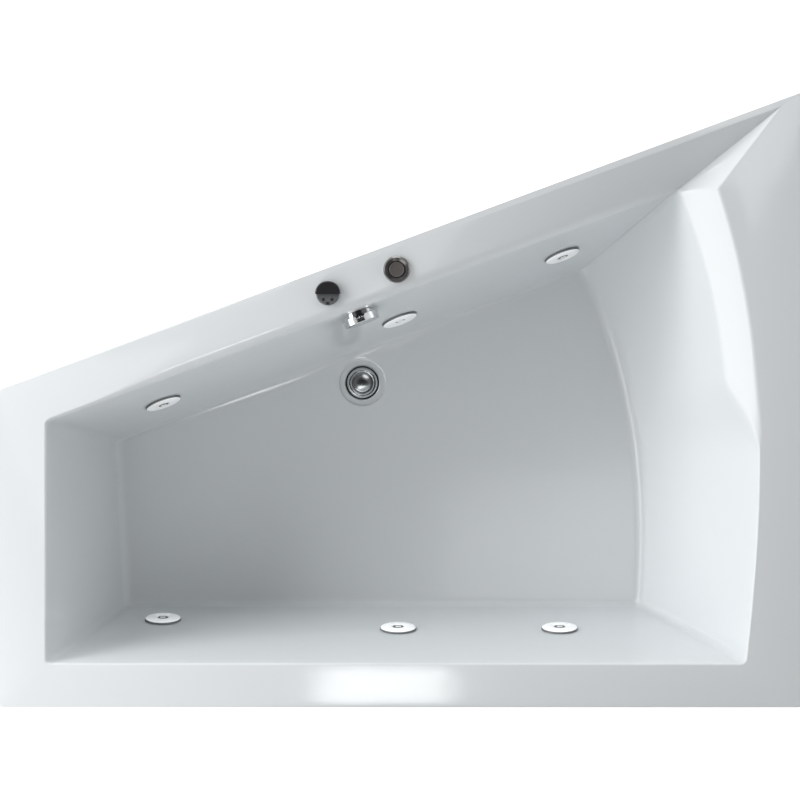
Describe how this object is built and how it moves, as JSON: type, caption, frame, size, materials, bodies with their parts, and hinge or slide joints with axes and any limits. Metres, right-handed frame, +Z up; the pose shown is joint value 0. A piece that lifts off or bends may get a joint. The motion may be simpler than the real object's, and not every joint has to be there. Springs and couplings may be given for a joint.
{
  "type": "jetted bathtub",
  "caption": "Asymmetric wedge-shaped jetted bath with a sloping ledge, backrest, swivelling jets, pop-up waste, pump, hoses and adjustable feet.",
  "frame": {"origin": "on the floor under the middle of the bath's plan", "axes": "+X along the straight front side to the wide end, +Y from the front side to the slanted side, +Z up"},
  "size_m": [1.7, 1.2975, 0.6135],
  "materials": {
    "acrylic": "gloss",
    "board": "raw chipboard",
    "zinc_steel": "zinc plated",
    "chrome": "polished",
    "satin_chrome": "satin",
    "black_chrome": "polished",
    "white_plastic": "moulded",
    "grey_plastic": "moulded",
    "black_plastic": "moulded",
    "black_rubber": "moulded",
    "hose": "extruded",
    "motor_paint": "satin"
  },
  "bodies": {
    "bath": {"tub_shell": "acrylic", "base_board": "board", "rail_front": "zinc_steel", "rail_back": "zinc_steel", "rail_short": "zinc_steel", "foot_nuts": "zinc_steel", "frame_screws": "zinc_steel", "pump_tray": "zinc_steel", "waste_flange": "chrome", "overflow_face": "chrome", "suction_cover": "satin_chrome", "button_bezel": "black_chrome", "jet_bodies": "white_plastic", "jet_sleeves": "white_plastic", "suction_body": "white_plastic", "trap": "white_plastic", "water_tee": "white_plastic", "overflow_elbow": "grey_plastic", "waste_body": "grey_plastic", "air_valve": "grey_plastic", "overflow_hose": "grey_plastic", "pump_volute": "black_plastic", "switch_box": "black_plastic", "cable_gland": "black_plastic", "bowden_cable": "black_plastic", "jet_gaskets": "black_rubber", "waste_seal": "black_rubber", "button_bellows": "black_rubber", "suction_hose": "hose", "water_hose_front": "hose", "water_hose_back": "hose", "air_hose": "hose", "button_tube": "hose", "pump_motor": "motor_paint"},
    "foot_1": {"foot_rod_1": "zinc_steel", "foot_pad_1": "black_plastic"},
    "foot_2": {"foot_rod_2": "zinc_steel", "foot_pad_2": "black_plastic"},
    "foot_3": {"foot_rod_3": "zinc_steel", "foot_pad_3": "black_plastic"},
    "foot_4": {"foot_rod_4": "zinc_steel", "foot_pad_4": "black_plastic"},
    "foot_5": {"foot_rod_5": "zinc_steel", "foot_pad_5": "black_plastic"},
    "ring_1": {"jet_ring_1": "satin_chrome"},
    "nozzle_1": {"jet_nozzle_1": "satin_chrome"},
    "ring_2": {"jet_ring_2": "satin_chrome"},
    "nozzle_2": {"jet_nozzle_2": "satin_chrome"},
    "ring_3": {"jet_ring_3": "satin_chrome"},
    "nozzle_3": {"jet_nozzle_3": "satin_chrome"},
    "ring_4": {"jet_ring_4": "satin_chrome"},
    "nozzle_4": {"jet_nozzle_4": "satin_chrome"},
    "ring_5": {"jet_ring_5": "satin_chrome"},
    "nozzle_5": {"jet_nozzle_5": "satin_chrome"},
    "knob": {"overflow_knob": "chrome"},
    "plug": {"waste_plug": "chrome"},
    "air_control": {"air_knob": "black_chrome"},
    "button": {"button_cap": "black_chrome"},
    "rotor": {"pump_rotor": "zinc_steel"}
  },
  "joints": [
    {"name": "foot_1_height", "type": "slide", "parent": "bath", "child": "foot_1", "axis": [0, 0, 1], "range_m": [-0.015, 0.012]},
    {"name": "foot_2_height", "type": "slide", "parent": "bath", "child": "foot_2", "axis": [0, 0, 1], "range_m": [-0.015, 0.012]},
    {"name": "foot_3_height", "type": "slide", "parent": "bath", "child": "foot_3", "axis": [0, 0, 1], "range_m": [-0.015, 0.012]},
    {"name": "foot_4_height", "type": "slide", "parent": "bath", "child": "foot_4", "axis": [0, 0, 1], "range_m": [-0.015, 0.012]},
    {"name": "foot_5_height", "type": "slide", "parent": "bath", "child": "foot_5", "axis": [0, 0, 1], "range_m": [-0.015, 0.012]},
    {"name": "jet_1_flow", "type": "hinge", "parent": "bath", "child": "ring_1", "pos_m": [-0.523, -0.48653, 0.277], "axis": [0, 0.977, 0.2132], "range_deg": [0, 90]},
    {"name": "jet_1_aim", "type": "hinge", "parent": "ring_1", "child": "nozzle_1", "pos_m": [-0.523, -0.48946, 0.27636], "axis": [-1, 0, 0], "range_deg": [-15, 15]},
    {"name": "jet_2_flow", "type": "hinge", "parent": "bath", "child": "ring_2", "pos_m": [-0.004, -0.50202, 0.348], "axis": [0, 0.977, 0.2132], "range_deg": [0, 90]},
    {"name": "jet_2_aim", "type": "hinge", "parent": "ring_2", "child": "nozzle_2", "pos_m": [-0.004, -0.50495, 0.34736], "axis": [-1, 0, 0], "range_deg": [-15, 15]},
    {"name": "jet_3_flow", "type": "hinge", "parent": "bath", "child": "ring_3", "pos_m": [0.349, -0.50202, 0.348], "axis": [0, 0.977, 0.2132], "range_deg": [0, 90]},
    {"name": "jet_3_aim", "type": "hinge", "parent": "ring_3", "child": "nozzle_3", "pos_m": [0.349, -0.50495, 0.34736], "axis": [-1, 0, 0], "range_deg": [-15, 15]},
    {"name": "jet_4_flow", "type": "hinge", "parent": "bath", "child": "ring_4", "pos_m": [-0.5163, -0.00562, 0.379], "axis": [0.3413, -0.9209, 0.1884], "range_deg": [0, 90]},
    {"name": "jet_4_aim", "type": "hinge", "parent": "ring_4", "child": "nozzle_4", "pos_m": [-0.51733, -0.00286, 0.37844], "axis": [0.9377, 0.3475, 0], "range_deg": [-15, 15]},
    {"name": "jet_5_flow", "type": "hinge", "parent": "bath", "child": "ring_5", "pos_m": [0.35306, 0.31616, 0.367], "axis": [0.3407, -0.9193, 0.1972], "range_deg": [0, 90]},
    {"name": "jet_5_aim", "type": "hinge", "parent": "ring_5", "child": "nozzle_5", "pos_m": [0.35204, 0.31892, 0.36641], "axis": [0.9377, 0.3475, 0], "range_deg": [-15, 15]},
    {"name": "overflow_knob_turn", "type": "hinge", "parent": "bath", "child": "knob", "pos_m": [-0.08744, 0.18391, 0.53], "axis": [0.3471, -0.9365, 0.0492], "range_deg": [0, 90]},
    {"name": "plug_lift", "type": "slide", "parent": "bath", "child": "plug", "axis": [0, 0, 1], "range_m": [0, 0.01]},
    {"name": "air_knob_turn", "type": "hinge", "parent": "bath", "child": "air_control", "pos_m": [-0.15228, 0.22364, 0.59861], "axis": [0.0126, -0.0339, 0.9993], "range_deg": [0, 180]},
    {"name": "button_press", "type": "slide", "parent": "bath", "child": "button", "axis": [-0.0355, 0.0957, -0.9948], "range_m": [0, 0.004], "stiffness_N_per_m": 400, "springref_m": -0.002, "deforming": ["button_bellows"]},
    {"name": "rotor_turn", "type": "hinge", "parent": "bath", "child": "rotor", "pos_m": [0.7, -0.2, 0.23], "axis": [0, 1, 0], "continuous": true}
  ],
  "couplings": [
    {"joint": "plug_lift", "follows": "overflow_knob_turn", "m_per_rad": 0.006366}
  ]
}
